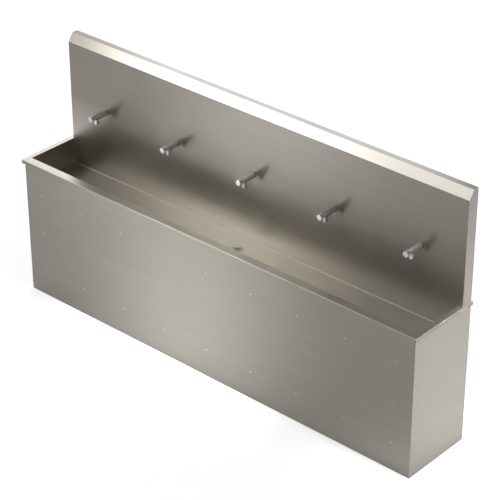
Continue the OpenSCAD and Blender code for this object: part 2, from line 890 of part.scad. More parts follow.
// The lever hangs straight down along the pipe when the valve is open
module valve_lever() {
    half = lever_w / 2;
    tip_z = valve_z - lever_l + half;
    color([0.75, 0.15, 0.12]) {
        bar_y(valve_boss_r, riser_x, [lever_y0, lever_y1], valve_z);
        block([riser_x - half, riser_x + half], [lever_y0, lever_y0 + lever_t / 2], [tip_z, valve_z]);
        bar_y(half, riser_x, [lever_y0, lever_y0 + lever_t / 2], tip_z);
        bar_y(lever_pin_r - slide_clear, riser_x, [lever_y1, lever_y1 + lever_pin_l], valve_z);
    }
}

module riser_pipe() {
    bend_z = manifold_z - bend_r;
    color([0.8, 0.5, 0.35]) {
        ring_z(pipe_r, pipe_r - pipe_wall, riser_x, pipe_y, [valve_z1, bend_z]);
        translate([riser_x - bend_r, pipe_y, bend_z])
            rotate([90, 0, 0])
                pipe_bend();
    }
}

module manifold() {
    x0 = tap_x(0) - manifold_end_l;
    x1 = riser_x - bend_r;
    color([0.78, 0.5, 0.36])
    difference() {
        union() {
            bar_x(pipe_r, [x0, x1], pipe_y, manifold_z);
            for (i = stations)
                bar_z(branch_r, tap_x(i), pipe_y, [manifold_z, manifold_z + branch_l]);
        }
        bar_x(pipe_r - pipe_wall, [x0 + pipe_wall, x1 + over], pipe_y, manifold_z);
        for (i = stations)
            bar_z(water_r, tap_x(i), pipe_y, [manifold_z, manifold_z + branch_l + over]);
    }
}

// A ring round the manifold on a post from the splashback's inner face
module manifold_clip(x) {
    foot = clip_foot_w / 2;
    inner_y = splash_y + sheet_t;
    difference() {
        union() {
            bar_x(pipe_r + clip_t, [x - clip_w / 2, x + clip_w / 2], pipe_y, manifold_z);
            bar_y(clip_post_r, x, [inner_y, pipe_y - pipe_r], manifold_z);
            block(
                [x - foot, x + foot],
                [inner_y, inner_y + clip_foot_t],
                [manifold_z - foot, manifold_z + foot]
            );
        }
        bar_x(pipe_r + seat_clear, [x - clip_w, x + clip_w], pipe_y, manifold_z);
    }
}

module manifold_clips() {
    color([0.5, 0.5, 0.52])
    for (k = clip_steps)
        manifold_clip(mid_x + k * station_pitch / 2);
}

// From the manifold's branch up to an elbow on the end of the tap's shank
module tap_tail(x) {
    elbow_y = [splash_y + shank_l, splash_y + shank_l + elbow_l];
    difference() {
        union() {
            bar_z(tail_r, x, pipe_y, [manifold_z + branch_l, tap_z]);
            bar_y(elbow_r, x, elbow_y, tap_z);
        }
        bar_z(water_r, x, pipe_y, [manifold_z + branch_l - over, tap_z]);
        bar_y(water_r, x, [elbow_y[0] - over, pipe_y + water_r], tap_z);
    }
}

module tap_tails() {
    color([0.82, 0.74, 0.5])
    for (i = stations)
        tap_tail(tap_x(i));
}

module tap_back_nuts() {
    nut_y = [splash_y + sheet_t, splash_y + sheet_t + back_nut_t];
    color([0.8, 0.72, 0.45])
    for (i = stations)
        ring_y(back_nut_w / 2, shank_r + seat_clear, tap_x(i), nut_y, tap_z, hex_sides);
}

module tap_wall_seals() {
    color([0.1, 0.1, 0.1])
    for (i = stations)
        ring_y(tap_seal_r, shank_r + seat_clear, tap_x(i), [splash_y - tap_seal_t, splash_y], tap_z);
}

module tap_barrel(i) {
    x = tap_x(i);
    front = splash_y - barrel_reach;
    seat_y = splash_y - cartridge_front;
    nozzle_y = splash_y - nozzle_reach;
    boss_z = tap_z - boss_drop;
    color([0.62, 0.62, 0.6])
    difference() {
        union() {
            bar_y(barrel_r, x, [front, splash_y - tap_seal_t], tap_z);
            bar_y(collar_r, x, [front, front + collar_l], tap_z);
            bar_y(shank_r, x, [splash_y - tap_seal_t, splash_y + shank_l], tap_z);
            bar_z(boss_r, x, nozzle_y, [boss_z, tap_z - cartridge_r]);
        }
        bar_y(barrel_bore_r, x, [front - over, seat_y], tap_z);
        bar_y(cartridge_r + seat_clear, x, [seat_y - over, splash_y - cartridge_back], tap_z);
        bar_y(water_r, x, [splash_y - cartridge_back - over, splash_y + shank_l + over], tap_z);
        bar_z(water_r, x, nozzle_y, [boss_z - over, tap_z - cartridge_r + over]);
        bar_z(nozzle_thread_r + seat_clear, x, nozzle_y, [boss_z - over, boss_z + nozzle_thread_l]);
    }
}

// Half outline of the button in radius and distance from its face, turned about the spout's axis
module button_outline() {
    difference() {
        union() {
            translate([0, button_round])
                square([button_r, button_t - 2 * button_round]);
            square([button_r - button_round, button_t]);
            for (lift = [button_round, button_t - button_round])
                translate([button_r - button_round, lift])
                    circle(button_round);
            translate([0, button_t])
                square([neck_r, tap_reach - neck_end - button_t]);
        }
        translate([0, -over])
            square([button_dish_r, over + button_dish_t]);
    }
}

module tap_button(i) {
    neck_y = splash_y - neck_end;
    color([0.84, 0.85, 0.87]) {
        translate([tap_x(i), splash_y - tap_reach, tap_z])
            rotate([-90, 0, 0])
                rotate_extrude()
                    button_outline();
        bar_y(spindle_r - slide_clear, tap_x(i), [neck_y, neck_y + spindle_l], tap_z);
    }
}

module tap_nozzle(i) {
    x = tap_x(i);
    y = splash_y - nozzle_reach;
    top_z = tap_z - boss_drop;
    low_z = top_z - nozzle_l;
    color([0.78, 0.77, 0.74])
    difference() {
        union() {
            bar_z(nozzle_r, x, y, [low_z, top_z]);
            bar_z(nozzle_thread_r, x, y, [top_z, top_z + nozzle_thread_l]);
        }
        bar_z(mouth_r, x, y, [low_z - over, low_z + mouth_l]);
        bar_z(water_r, x, y, [low_z, top_z + nozzle_thread_l + over]);
    }
}

// A sealed cartridge whose front bore guides the button's spindle
module tap_cartridge(i) {
    seat_y = splash_y - cartridge_front;
    color([0.2, 0.3, 0.55])
    difference() {
        bar_y(cartridge_r, tap_x(i), [seat_y, seat_y + cartridge_l], tap_z);
        bar_y(spindle_r, tap_x(i), [seat_y - over, seat_y + spindle_bore_l], tap_z);
    }
}

trough_tray();
splashback();
front_apron();
left_end_panel();
right_end_panel();
apron_screws();
for (i = legs) {
    front_leg(i);
    rear_leg(i);
    bowl_bearer(i);
}
front_top_rail();
front_bottom_rail();
rear_top_rail();
bowl_pads();
levelling_feet();
wall_hooks();
waste_flange();
waste_gasket();
waste_locknut();
trap_nuts();
trap_body();
trap_cup();
waste_pipe();
supply_pipe();
valve_body();
valve_lever();
riser_pipe();
manifold();
manifold_clips();
tap_tails();
tap_back_nuts();
tap_wall_seals();
for (i = stations) {
    tap_barrel(i);
    tap_button(i);
    tap_nozzle(i);
    tap_cartridge(i);
}
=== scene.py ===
"""Dresses the five-station hand wash sink: steel, plastics and pipework, studio light and camera."""

import math

import bmesh
import bpy
from mathutils import Matrix, Quaternion, Vector


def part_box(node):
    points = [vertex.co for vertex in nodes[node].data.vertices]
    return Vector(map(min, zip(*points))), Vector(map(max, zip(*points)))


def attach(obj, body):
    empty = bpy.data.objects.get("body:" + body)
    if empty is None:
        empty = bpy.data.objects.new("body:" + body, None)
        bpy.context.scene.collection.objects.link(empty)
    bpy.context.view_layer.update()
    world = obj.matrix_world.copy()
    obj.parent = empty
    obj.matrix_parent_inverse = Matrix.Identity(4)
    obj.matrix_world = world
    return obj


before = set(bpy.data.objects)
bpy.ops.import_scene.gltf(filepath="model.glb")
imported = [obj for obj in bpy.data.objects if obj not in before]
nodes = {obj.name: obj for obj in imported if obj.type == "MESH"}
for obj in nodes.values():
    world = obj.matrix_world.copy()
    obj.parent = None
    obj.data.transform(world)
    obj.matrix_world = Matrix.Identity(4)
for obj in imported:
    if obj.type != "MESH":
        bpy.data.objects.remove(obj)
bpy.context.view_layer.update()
MM = 0.001

# Camera, as the photograph was taken: degrees, metres, and millimetres for lens and sensor
CAMERA_AZIMUTH = 41.676
CAMERA_ELEVATION = 30.585
CAMERA_ROLL = -0.065
CAMERA_PLACE = Vector((6.5073, -7.1574, 6.4587))
CAMERA_LENS = 139.54
SENSOR_WIDTH = 36.0
CAMERA_SHIFT = (-0.001, 0.001)
CAMERA_REACH = 200.0
RIGHT_ANGLE = 90.0

STATIONS = range(1, 6)
LEGS = range(1, 5)


# Helpers for materials


def grey(level):
    return (level, level, level)


def rgba(colour, share=1.0):
    return (colour[0] * share, colour[1] * share, colour[2] * share, 1.0)


# A tone's share in red, green and blue that leaves it as it is
PLAIN_SHARE = grey(1.0)
# A mix node's sockets for each kind of value: its two inputs and its output
MIX_SOCKETS = {"RGBA": (6, 7, 2), "VECTOR": (4, 5, 1)}


class Tree:
    """A material's node tree, with short calls to add and link nodes."""

    def __init__(self, name):
        self.material = bpy.data.materials.new(name)
        self.material.use_nodes = True
        self.nodes = self.material.node_tree.nodes
        self.links = self.material.node_tree.links
        self.nodes.clear()
        self.output = self.nodes.new("ShaderNodeOutputMaterial")

    def add(self, kind, **settings):
        node = self.nodes.new("ShaderNode" + kind)
        for key, value in settings.items():
            setattr(node, key, value)
        return node

    def feed(self, socket, value):
        """Links an output to the socket, or sets the socket's own value."""
        if isinstance(value, bpy.types.NodeSocket):
            self.links.new(value, socket)
        else:
            socket.default_value = value

    def math(self, operation, a, b=0.0):
        node = self.add("Math", operation=operation)
        self.feed(node.inputs[0], a)
        self.feed(node.inputs[1], b)
        return node.outputs[0]

    def over(self, value, limit):
        return self.math("GREATER_THAN", value, limit)

    def under(self, value, limit):
        return self.math("LESS_THAN", value, limit)

    def product(self, first, *others):
        result = first
        for other in others:
            result = self.math("MULTIPLY", result, other)
        return result

    def spread(self, value, low, high, to_low, to_high):
        """A value in low to high, spread over to_low to to_high."""
        node = self.add("MapRange")
        self.feed(node.inputs["Value"], value)
        self.feed(node.inputs["From Min"], low)
        self.feed(node.inputs["From Max"], high)
        self.feed(node.inputs["To Min"], to_low)
        self.feed(node.inputs["To Max"], to_high)
        return node.outputs[0]

    def mix(self, kind, factor, a, b):
        """From a to b by the factor, for values of one kind."""
        first, second, result = MIX_SOCKETS[kind]
        node = self.add("Mix", data_type=kind)
        self.feed(node.inputs[0], factor)
        self.feed(node.inputs[first], a)
        self.feed(node.inputs[second], b)
        return node.outputs[result]

    def mix_colour(self, factor, a, b):
        return self.mix("RGBA", factor, a, b)

    def mix_vector(self, factor, a, b):
        return self.mix("VECTOR", factor, a, b)

    def place(self):
        """The point in the part's own frame, in metres."""
        return self.add("TexCoord").outputs["Object"]

    def scaled(self, vector, scale):
        node = self.add("VectorMath", operation="MULTIPLY")
        self.feed(node.inputs[0], vector)
        self.feed(node.inputs[1], scale)
        return node.outputs[0]

    def tinted(self, tone, mask, share):
        """The tone, times the share of red, green and blue where the mask is one."""
        return self.scaled(tone, self.mix_vector(mask, PLAIN_SHARE, share))

    def noise(self, vector, form):
        """Noise by its scale, detail and roughness."""
        scale, detail, roughness = form
        node = self.add("TexNoise")
        self.feed(node.inputs["Vector"], vector)
        self.feed(node.inputs["Scale"], scale)
        self.feed(node.inputs["Detail"], detail)
        self.feed(node.inputs["Roughness"], roughness)
        return node.outputs["Fac"]

    def bump(self, height, distance, strength):
        node = self.add("Bump")
        self.feed(node.inputs["Height"], height)
        node.inputs["Distance"].default_value = distance
        node.inputs["Strength"].default_value = strength
        return node.outputs["Normal"]

    def split(self, vector):
        node = self.add("SeparateXYZ")
        self.feed(node.inputs[0], vector)
        return node.outputs["X"], node.outputs["Y"], node.outputs["Z"]

    def surface(self, **inputs):
        """The Principled shader, linked to the output."""
        node = self.add("BsdfPrincipled")
        for key, value in inputs.items():
            self.feed(node.inputs[key.replace("_", " ")], value)
        self.links.new(node.outputs[0], self.output.inputs["Surface"])
        return node


# Places on the sheets where painted light changes the steel's tone


TRAY_LOW, TRAY_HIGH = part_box("trough_tray")
TRAY_TOP = TRAY_HIGH[2] + MM
TRAY_FRONT = TRAY_LOW[1] + MM
TRAY_RIGHT = TRAY_HIGH[0] - 0.5 * MM
RIM_LOW = TRAY_TOP - 5.0 * MM
FOLD_BACK = TRAY_FRONT + 3.0 * MM
SLOPE_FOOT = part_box("splashback")[1][2] - 60.0 * MM
# Heights in metres between which the bowl's painted light fades into the plain tone
BOWL_LIGHT_FULL = 0.88
BOWL_LIGHT_END = 1.22
# The largest part of a surface's direction, from full tilt to no tilt
TILT_FULL = 0.9
TILT_NONE = 0.99
# The least part of a direction that faces that way at all, and that makes a face an end
FACING = 0.1
END_FACING = 0.7


def endways(tree, normal, least):
    """One where the surface faces the sink's left or right end."""
    return tree.over(tree.math("ABSOLUTE", tree.split(normal)[0]), least)


def tilted(tree, normal):
    """One where the surface is neither level nor upright."""
    x, y, z = (tree.math("ABSOLUTE", part) for part in tree.split(normal))
    straight = tree.math("MAXIMUM", tree.math("MAXIMUM", x, y), z)
    return tree.spread(straight, TILT_FULL, TILT_NONE, 1.0, 0.0)


def bowl_painted_light(tree, place):
    """One in the bowl and just over it, where the steel's tone is painted lighter as painted light."""
    x, y, z = tree.split(place)
    low = tree.spread(z, BOWL_LIGHT_FULL, BOWL_LIGHT_END, 1.0, 0.0)
    return tree.product(low, tree.over(y, TRAY_FRONT), tree.under(x, TRAY_RIGHT))


def folded(tree, normal, place):
    """One on all that is tilted up to the tray's top, such as its folds and a tube's corners."""
    return tree.product(tree.under(tree.split(place)[2], TRAY_TOP), tilted(tree, normal))


def end_folded(tree, normal, place):
    """One in the folds and corners at the bowl's two ends."""
    low = tree.under(tree.split(place)[2], RIM_LOW)
    return tree.product(low, endways(tree, normal, FACING), tilted(tree, normal))


def on_rim(tree, normal, place):
    """One on the tray's top strips and their folds."""
    z = tree.split(place)[2]
    upwards = tree.over(tree.split(normal)[2], FACING)
    return tree.product(upwards, tree.over(z, RIM_LOW), tree.under(z, TRAY_TOP))


def front_fold_highlight_mask(tree, normal, place):
    """One on the fold along the rim's front, which gets a painted highlight."""
    x, y, _ = tree.split(place)
    outer = tree.product(tree.under(y, FOLD_BACK), tree.under(x, TRAY_RIGHT))
    return tree.product(outer, on_rim(tree, normal, place), tilted(tree, normal))


def on_slope(tree, normal, place):
    """One on the splashback's sloped top edge."""
    return tree.product(tree.over(tree.split(place)[2], SLOPE_FOOT), tilted(tree, normal))


# Steel sheet and tube: the grain lies level, along the sink on long faces and across it on its ends


# Noises: scale, detail and roughness
FINE_GRAIN = (1.0, 3.0, 0.6)
BANDS = (1.0, 2.0, 0.5)
SMUDGES = (2.6, 4.0, 0.55)
# How often the grain and its bands change in a metre, along and across the grain
FINE_SCALES = (8.0, 620.0)
BAND_SCALES = (1.5, 46.0)
# The part of a noise's range that carries its whole effect
GRAIN_RANGE = (0.3, 0.7)
SMUDGE_RANGE = (0.35, 0.65)
# The fine grain's part in the shade, of which the bands are the rest
FINE_PART = 0.5
# How far the tone varies with the shade, and with smudges on sheet and on tube
GRAIN_CONTRAST = 0.045
SHEET_MOTTLE = 0.02
TUBE_MOTTLE = 0.14
# The grain's bump: its height and how strongly it shows
GRAIN_RELIEF = 0.2 * MM
GRAIN_DEPTH = 0.07
# How far the roughness varies with the grain and with smudges
ROUGH_GRAIN = 0.008
ROUGH_SMUDGE = 0.018
# Shares of the plain tone that paint light and shade: a painted highlight on the folds, painted shade on
# the bowl's end folds, and painted highlights on the sloped top edge and the rim
FOLD_HIGHLIGHT_SHARE = grey(1.1)
END_FOLD_SHADE_SHARE = grey(0.5)
SLOPE_HIGHLIGHT_SHARE = grey(3.8)
RIM_HIGHLIGHT_SHARE = (1.29, 1.30, 1.33)
# How much duller the folds are, and the tone of the painted highlight on the rim's front fold
BEND_DULLNESS = 0.22
FRONT_FOLD_HIGHLIGHT_TONE = (0.60, 0.57, 0.52)


def level_noise(tree, place, on_end, scales, form):
    """Noise drawn out along the grain, by its scales along and across it."""
    long_way, short_way = scales
    scale = tree.mix_vector(
        on_end,
        (long_way, short_way, short_way),
        (short_way, long_way, short_way),
    )
    return tree.noise(tree.scaled(place, scale), form)


def grain_direction(tree, normal, on_end):
    """The direction in the surface, at right angles to the grain."""
    grain = tree.mix_vector(on_end, (1.0, 0.0, 0.0), (0.0, 1.0, 0.0))
    across = tree.add("VectorMath", operation="CROSS_PRODUCT")
    tree.feed(across.inputs[0], normal)
    tree.feed(across.inputs[1], grain)
    return across.outputs[0]


def brushed_steel(name, colour, roughness, anisotropic, bowl_light_share=PLAIN_SHARE, mottle=SHEET_MOTTLE):
    """Sheet or tube with a fine level grain, faint bands and smudges, and duller bends; its tone also
    carries painted light: a lighter bowl, painted highlights and painted shade.
    """
    tree = Tree(name)
    place = tree.place()
    normal = tree.add("NewGeometry").outputs["Normal"]
    on_end = endways(tree, normal, END_FACING)
    fine = level_noise(tree, place, on_end, FINE_SCALES, FINE_GRAIN)
    band = level_noise(tree, place, on_end, BAND_SCALES, BANDS)
    smudge = tree.noise(place, SMUDGES)
    shade = tree.math("ADD", tree.product(fine, FINE_PART), tree.product(band, 1.0 - FINE_PART))
    bend = folded(tree, normal, place)
    front_highlight = front_fold_highlight_mask(tree, normal, place)

    dark_grain = rgba(colour, 1.0 - GRAIN_CONTRAST)
    light_grain = rgba(colour, 1.0 + GRAIN_CONTRAST)
    tone = tree.mix_colour(tree.spread(shade, *GRAIN_RANGE, 0.0, 1.0), dark_grain, light_grain)
    # Painted light: the bowl's tone is painted lighter
    tone = tree.tinted(tone, bowl_painted_light(tree, place), bowl_light_share)
    # Painted highlight on the folds and the tubes' corners
    tone = tree.tinted(tone, bend, FOLD_HIGHLIGHT_SHARE)
    # Painted highlight on the splashback's sloped top edge
    tone = tree.tinted(tone, on_slope(tree, normal, place), SLOPE_HIGHLIGHT_SHARE)
    # Painted highlight on the rim's top strips
    tone = tree.tinted(tone, on_rim(tree, normal, place), RIM_HIGHLIGHT_SHARE)
    # Painted shade on the folds and corners at the bowl's ends
    tone = tree.tinted(tone, end_folded(tree, normal, place), END_FOLD_SHADE_SHARE)
    # Painted highlight along the rim's front fold
    tone = tree.mix_colour(front_highlight, tone, rgba(FRONT_FOLD_HIGHLIGHT_TONE))
    tone = tree.scaled(tone, tree.spread(smudge, *SMUDGE_RANGE, 1.0 - mottle, 1.0 + mottle))

    grain_rough = tree.spread(shade, *GRAIN_RANGE, roughness - ROUGH_GRAIN, roughness + ROUGH_GRAIN)
    smudge_rough = tree.spread(smudge, *SMUDGE_RANGE, -ROUGH_SMUDGE, ROUGH_SMUDGE)
    bend_rough = tree.product(tree.math("SUBTRACT", bend, front_highlight), BEND_DULLNESS)
    rough = tree.math("ADD", tree.math("ADD", grain_rough, smudge_rough), bend_rough)

    surface = tree.surface(
        Base_Color=tone,
        Metallic=1.0,
        Roughness=rough,
        Anisotropic=anisotropic,
        Normal=tree.bump(fine, GRAIN_RELIEF, GRAIN_DEPTH),
    )
    tree.feed(surface.inputs["Tangent"], grain_direction(tree, normal, on_end))
    return tree.material


# Turned and plated metal


WEAR = (420.0, 3.0, 0.6)
STAINS = (24.0, 4.0, 0.6)
WEAR_RANGE = (0.3, 0.7)
STAIN_RANGE = (0.35, 0.7)
# How far the roughness varies with wear, and how dark most stains are, as shares
WEAR_SHARE = 0.15
STAIN_SHARE = 0.12
WEAR_RELIEF = 0.1 * MM
WEAR_DEPTH = 0.06


def turned_metal(name, colour, roughness, stain=STAIN_SHARE):
    """Machined or plated metal: fine wear in its gloss and faint staining."""
    tree = Tree(name)
    place = tree.place()
    wear = tree.noise(place, WEAR)
    stained = tree.spread(tree.noise(place, STAINS), *STAIN_RANGE, 0.0, 1.0)
    smooth = roughness * (1.0 - WEAR_SHARE)
    worn = roughness * (1.0 + WEAR_SHARE)
    tree.surface(
        Base_Color=tree.mix_colour(stained, rgba(colour), rgba(colour, 1.0 - stain)),
        Metallic=1.0,
        Roughness=tree.spread(wear, *WEAR_RANGE, smooth, worn),
        Normal=tree.bump(wear, WEAR_RELIEF, WEAR_DEPTH),
    )
    return tree.material


# Plastic and rubber


MOULD_DETAIL = 3.0
MOULD_ROUGHNESS = 0.6
MOULD_RELIEF = 0.2 * MM
# Dust: its noise, where that shows in the tone and in the gloss, its share of the tone and its own grey
DUST = (18.0, 4.0, 0.6)
DUST_RANGE = (0.45, 0.75)
DUST_GLOSS_RANGE = (0.3, 0.7)
DUST_SHARE = 0.12
DUST_TONE = 0.4
# How much glossier the clean parts are, and how much duller the dusty ones
CLEAN_GLOSS = 0.05
DUSTY_DULLNESS = 0.06


def moulded(name, colour, roughness, grain_scale, grain_depth):
    """Plastic or rubber: a fine moulded grain and uneven dust."""
    tree = Tree(name)
    place = tree.place()
    grain = tree.noise(place, (grain_scale, MOULD_DETAIL, MOULD_ROUGHNESS))
    dust = tree.noise(place, DUST)
    dusty = [(1.0 - DUST_SHARE) * part + DUST_SHARE * DUST_TONE for part in colour]
    smooth = roughness - CLEAN_GLOSS
    dull = roughness + DUSTY_DULLNESS
    tree.surface(
        Base_Color=tree.mix_colour(tree.spread(dust, *DUST_RANGE, 0.0, 1.0), rgba(colour), rgba(dusty)),
        Roughness=tree.spread(dust, *DUST_GLOSS_RANGE, smooth, dull),
        Normal=tree.bump(grain, MOULD_RELIEF, grain_depth),
    )
    return tree.material


# Finishes


STEEL_TONE = (0.225, 0.21, 0.1845)
# How much lighter the bowl's steel is painted, as painted light, in red, green and blue
BOWL_LIGHT_SHARE = (1.97, 1.99, 2.01)
BRUSHED_ROUGHNESS = 0.303
BRUSHED_GRAIN = 0.75

# Steel sheet and tube: tone, roughness, how far the grain draws out its reflections, and for the basin
# its painted light in the bowl
sheet_steel = brushed_steel("brushed_sheet", STEEL_TONE, BRUSHED_ROUGHNESS, BRUSHED_GRAIN)
basin_steel = brushed_steel("brushed_basin", STEEL_TONE, BRUSHED_ROUGHNESS, BRUSHED_GRAIN, BOWL_LIGHT_SHARE)
tube_steel = brushed_steel("mill_tube", (0.30, 0.30, 0.31), 0.45, 0.4, mottle=TUBE_MOTTLE)
# Other metal: tone, roughness, and how dark its stains are
satin_chrome = turned_metal("satin_chrome", (0.66, 0.66, 0.60), 0.42)
button_steel = turned_metal("polished_button", (0.50, 0.52, 0.53), 0.3, 0.05)
nozzle_steel = turned_metal("polished_nozzle", (0.54, 0.54, 0.515), 0.3, 0.05)
flange_steel = turned_metal("dull_waste", (0.40, 0.385, 0.355), 0.5, 0.08)
zinc = turned_metal("zinc_plate", (0.43, 0.435, 0.44), 0.36, 0.2)
screw_steel = turned_metal("dull_screws", (0.56, 0.55, 0.525), 0.6, 0.12)
copper = turned_metal("dull_copper", (0.56, 0.29, 0.18), 0.34, 0.3)
brass = turned_metal("machined_brass", (0.60, 0.46, 0.20), 0.3, 0.2)
# Plastic and rubber: tone, roughness, and the scale and depth of the grain
seal_rubber = moulded("pale_seal", (0.52, 0.52, 0.49), 0.6, 600.0, 0.15)
rubber = moulded("black_rubber", (0.02, 0.02, 0.02), 0.75, 600.0, 0.2)
white_plastic = moulded("white_plastic", (0.72, 0.72, 0.69), 0.42, 500.0, 0.08)
blue_plastic = moulded("blue_plastic", (0.03, 0.08, 0.26), 0.35, 500.0, 0.06)
lever_dip = moulded("red_dip", (0.42, 0.03, 0.02), 0.4, 400.0, 0.1)

MATERIALS = {
    "trough_tray": basin_steel,
    "splashback": basin_steel,
    "front_apron": sheet_steel,
    "left_end_panel": sheet_steel,
    "right_end_panel": sheet_steel,
    "apron_screws": screw_steel,
    "bowl_pads": rubber,
    "levelling_feet": zinc,
    "wall_hooks": tube_steel,
    "waste_flange": flange_steel,
    "waste_gasket": rubber,
    "waste_locknut": brass,
    "trap_nuts": white_plastic,
    "trap_body": white_plastic,
    "trap_cup": white_plastic,
    "waste_pipe": white_plastic,
    "supply_pipe": copper,
    "riser_pipe": copper,
    "manifold": copper,
    "valve_body": brass,
    "valve_lever": lever_dip,
    "manifold_clips": zinc,
    "tap_tails": brass,
    "tap_back_nuts": brass,
    "tap_wall_seals": seal_rubber,
}
GROUPS = {
    "front_leg": tube_steel,
    "rear_leg": tube_steel,
    "bowl_bearer": tube_steel,
    "front_top_rail": tube_steel,
    "front_bottom_rail": tube_steel,
    "rear_top_rail": tube_steel,
    "tap_barrel": satin_chrome,
    "tap_button": button_steel,
    "tap_nozzle": nozzle_steel,
    "tap_cartridge": blue_plastic,
}

# Widths of the soft edges that catch the light, and the least turn in degrees that gets one
SHEET_EDGE = 0.45 * MM
TURNED_EDGE = 0.5 * MM
TUBE_EDGE = 1.2 * MM
EDGE_ANGLE = 40.0
EDGE_STEPS = 2
SHEETS = ("trough_tray", "splashback", "front_apron", "left_end_panel", "right_end_panel")
TURNED = ("waste_locknut", "trap_nuts", "trap_cup", "valve_body", "tap_back_nuts", "levelling_feet")
TURNED_STARTS = ("tap_barrel", "tap_nozzle")


def material_of(name):
    if name in MATERIALS:
        return MATERIALS[name]
    return next(GROUPS[start] for start in GROUPS if name.startswith(start))


def edge_of(name):
    """The width of a node's soft edges, or nought where they stay sharp."""
    if name in SHEETS:
        return SHEET_EDGE
    if name in TURNED or name.startswith(TURNED_STARTS):
        return TURNED_EDGE
    if material_of(name) is tube_steel:
        return TUBE_EDGE
    return 0.0


def soften(node, width):
    """A narrow round along the node's sharp edges."""
    bevel = node.modifiers.new("soft_edges", "BEVEL")
    bevel.width = width
    bevel.segments = EDGE_STEPS
    bevel.limit_method = "ANGLE"
    bevel.angle_limit = math.radians(EDGE_ANGLE)
    bevel.harden_normals = True


for name, node in nodes.items():
    node.data.materials.clear()
    node.data.materials.append(material_of(name))
    if edge_of(name):
        soften(node, edge_of(name))


# Mesh helpers for the added pieces: each adds closed skins of points to a bmesh


AXIS_ROWS = {
    "x": ((0, 0, 1), (1, 0, 0), (0, 1, 0)),
    "y": ((0, 1, 0), (0, 0, 1), (1, 0, 0)),
    "z": ((1, 0, 0), (0, 1, 0), (0, 0, 1)),
}
UP = Vector((0, 0, 1))
ROUND_SIDES = 48
BEAD_POINTS = 7
SMOOTH_ANGLE = 35.0
# How far a ridge, rib or bead is sunk into the piece that it stands on
ROOT = 0.2 * MM


def along(axis, start):
    """Turns a shape made along its own third axis on to an axis of the part, from the start."""
    return Matrix.Translation(start) @ Matrix(AXIS_ROWS[axis]).to_4x4()


def round_point(radius, angle, rise):
    return Vector((radius * math.cos(angle), radius * math.sin(angle), rise))


def skin(bm, rings, closed):
    """Faces from ring to ring; closed joins the last ring to the first, else both ends get a cap."""
    made = [[bm.verts.new(point) for point in ring] for ring in rings]
    sides = len(made[0])
    last = len(made) if closed else len(made) - 1
    for k in range(last):
        here = made[k]
        there = made[(k + 1) % len(made)]
        for j in range(sides):
            after = (j + 1) % sides
            bm.faces.new((here[j], here[after], there[after], there[j]))
    if not closed:
        bm.faces.new(made[0])
        bm.faces.new(made[-1])


def turned(bm, axis, start, outline, sides=ROUND_SIDES):
    """A closed outline of radius and rise in millimetres, turned about the axis."""
    place = along(axis, start)
    rings = []
    for k in range(sides):
        angle = 2 * math.pi * k / sides
        rings.append([place @ round_point(r * MM, angle, rise * MM) for r, rise in outline])
    skin(bm, rings, True)


def upturned(outline):
    return [(r, -rise) for r, rise in outline]


def bead_ring(middle, side, out, width, height):
    """Half a rounded section on its flat base."""
    ring = []
    for j in range(BEAD_POINTS):
        swing = math.pi * j / (BEAD_POINTS - 1)
        ring.append(middle + side * (width / 2 * math.cos(swing)) + out * (height * math.sin(swing)))
    return ring


# Threads: radius of the stem, pitch, and height of the ridge
SHANK_THREAD = (10.0 * MM, 1.8 * MM, 0.45 * MM)
FOOT_THREAD = (6.0 * MM, 1.75 * MM, 0.5 * MM)
WASTE_THREAD = (22.0 * MM, 2.3 * MM, 0.6 * MM)
THREAD_STEPS = 24
# Half the width of a thread's ridge at its foot, as a share of the pitch
RIDGE_HALF = 0.42


def thread(bm, axis, start, length, form):
    """A sharp ridge that winds round a stem and runs out at both ends."""
    radius, pitch, height = form
    place = along(axis, start)
    steps = round((length - pitch) / pitch * THREAD_STEPS)
    rings = []
    for k in range(steps + 1):
        angle = 2 * math.pi * k / THREAD_STEPS
        rise = pitch / 2 + (length - pitch) * k / steps
        crest = height * min(1.0, 2 * k / THREAD_STEPS, 2 * (steps - k) / THREAD_STEPS)
        section = (
            (radius - ROOT, rise - RIDGE_HALF * pitch),
            (radius + crest, rise),
            (radius - ROOT, rise + RIDGE_HALF * pitch),
        )
        rings.append([place @ round_point(r, angle, step) for r, step in section])
    skin(bm, rings, False)


# Hand grips: radius, number of ribs, and a rib's width and height
NUT_GRIP = (29.0 * MM, 28, 2.6 * MM, 1.1 * MM)
CUP_GRIP = (33.0 * MM, 18, 4.0 * MM, 1.5 * MM)
RIB_STEPS = 8
# A rib's swell along its length: the least, at its ends, and the power that it is raised to
RIB_LEAST_SWELL = 0.1
RIB_POWER = 0.35


def grips(bm, axis, start, length, form):
    """Rounded ribs along a round piece, evenly spaced, for the hand."""
    radius, count, width, height = form
    place = along(axis, start)
    for k in range(count):
        angle = 2 * math.pi * k / count
        out = place.to_3x3() @ round_point(1.0, angle, 0.0)
        side = place.to_3x3() @ round_point(1.0, angle + math.pi / 2, 0.0)
        rings = []
        for step in range(RIB_STEPS + 1):
            middle = place @ round_point(radius - ROOT, angle, length * step / RIB_STEPS)
            swell = max(RIB_LEAST_SWELL, math.sin(math.pi * step / RIB_STEPS)) ** RIB_POWER
            rings.append(bead_ring(middle, side, out, width, (height + ROOT) * swell))
        skin(bm, rings, False)


# Beads of weld: width, height, length of a step, a ripple's share of the height, and its steps
WELD_W = 5.0 * MM
WELD_H = 1.2 * MM
WELD_STEP = 0.8 * MM
RIPPLE = 0.16
RIPPLE_STEPS = 4
# The share of a bead's height that its ends keep, and the share of its width that doesn't taper
WELD_END = 0.15
WELD_STEADY = 0.7


